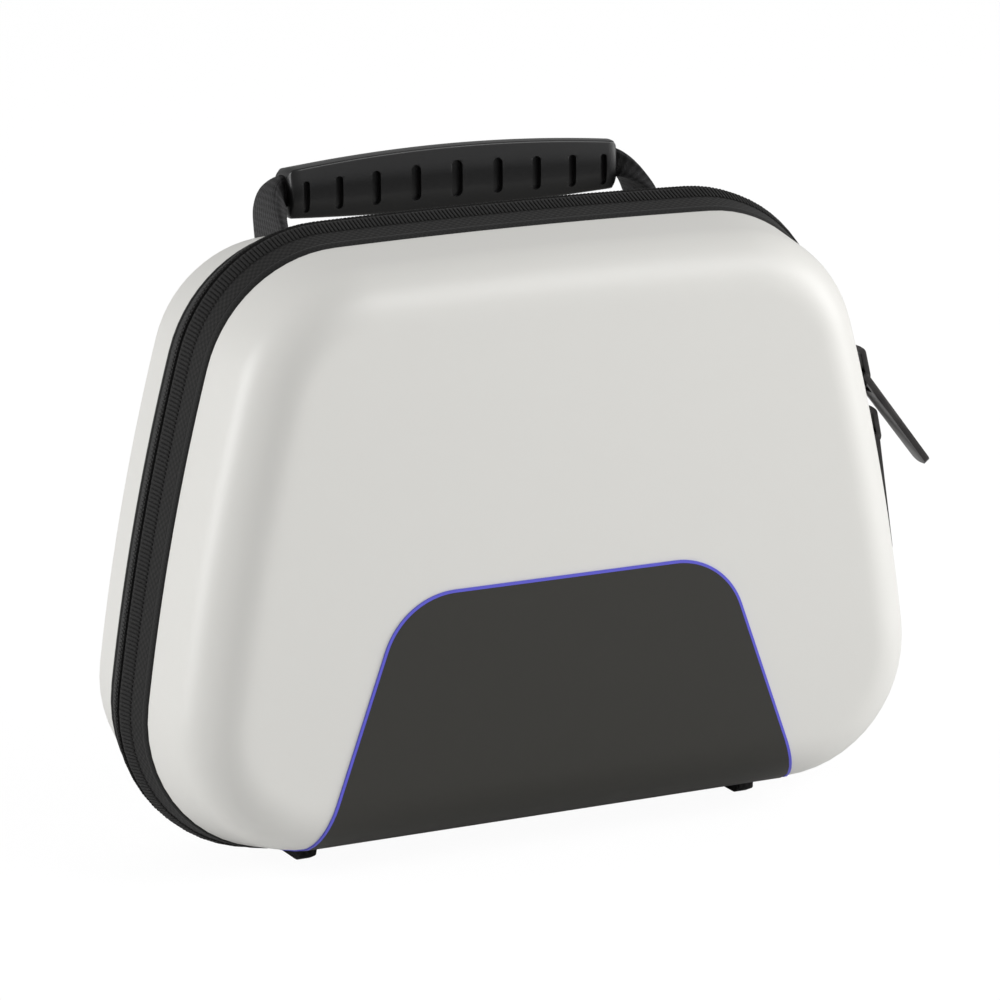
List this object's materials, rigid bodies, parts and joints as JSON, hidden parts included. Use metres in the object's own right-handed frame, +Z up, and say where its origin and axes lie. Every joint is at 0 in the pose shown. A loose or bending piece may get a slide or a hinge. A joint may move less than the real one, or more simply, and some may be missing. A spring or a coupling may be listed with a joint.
{
  "type": "controller carrying case",
  "caption": "Hard clamshell carrying case for a game controller, closed by a zip with sliders and pulls, with a moulded handle grip on webbing, a mesh pocket and a formed tray.",
  "frame": {"origin": "on the surface the case stands on, under the middle of the zip", "axes": "+X across the case towards the zip sliders, -Y towards the front panel, +Z up"},
  "size_m": [0.2188, 0.0754, 0.1606],
  "materials": {
    "shell_skin": "satin",
    "binding_fabric": "matte",
    "zip_tape_weave": "matte",
    "zip_coil_nylon": "satin",
    "hinge_webbing": "matte",
    "patch_coating": "matte",
    "patch_line": "satin",
    "pocket_mesh": "matte",
    "hem_elastic": "matte",
    "tray_lining": "matte",
    "handle_webbing": "matte",
    "grip_plastic": "satin",
    "slider_metal": "satin",
    "pull_metal": "satin"
  },
  "bodies": {
    "rear_half": {"rear_shell": "shell_skin", "rear_binding": "binding_fabric", "rear_zip_tape": "zip_tape_weave", "rear_zip_coil": "zip_coil_nylon", "controller_tray": "tray_lining", "tray_flange": "tray_lining", "hinge_strip": "hinge_webbing"},
    "lid": {"front_shell": "shell_skin", "front_binding": "binding_fabric", "front_zip_tape": "zip_tape_weave", "front_zip_coil": "zip_coil_nylon", "front_patch": "patch_coating", "patch_outline": "patch_line", "mesh_pocket": "pocket_mesh", "pocket_hem": "hem_elastic"},
    "handle": {"handle_grip": "grip_plastic", "handle_strap": "handle_webbing"},
    "upper_zip_slider": {"upper_slider": "slider_metal"},
    "upper_zip_pull": {"upper_pull": "pull_metal"},
    "lower_zip_slider": {"lower_slider": "slider_metal"},
    "lower_zip_pull": {"lower_pull": "pull_metal"}
  },
  "joints": [
    {"name": "lid_hinge", "type": "hinge", "parent": "rear_half", "child": "lid", "pos_m": [0, 0, 0], "axis": [1, 0, 0], "range_deg": [0, 180], "deforming": ["hinge_strip"]},
    {"name": "handle_swing", "type": "hinge", "parent": "rear_half", "child": "handle", "pos_m": [0, 0.0205, 0.1415], "axis": [1, 0, 0], "range_deg": [-5, 35], "deforming": ["handle_strap"]},
    {"name": "upper_slider_slide", "type": "slide", "parent": "rear_half", "child": "upper_zip_slider", "axis": [-0.2314, 0, 0.9729], "range_m": [0, 0.018]},
    {"name": "lower_slider_slide", "type": "slide", "parent": "rear_half", "child": "lower_zip_slider", "axis": [0.2041, 0, -0.979], "range_m": [0, 0.018]},
    {"name": "upper_pull_swing", "type": "hinge", "parent": "upper_zip_slider", "child": "upper_zip_pull", "pos_m": [0.09782, 0, 0.09946], "axis": [0, -1, 0], "range_deg": [0, 110]},
    {"name": "lower_pull_swing", "type": "hinge", "parent": "lower_zip_slider", "child": "lower_zip_pull", "pos_m": [0.10123, 0, 0.08385], "axis": [0, -1, 0], "range_deg": [-4, 35]}
  ]
}
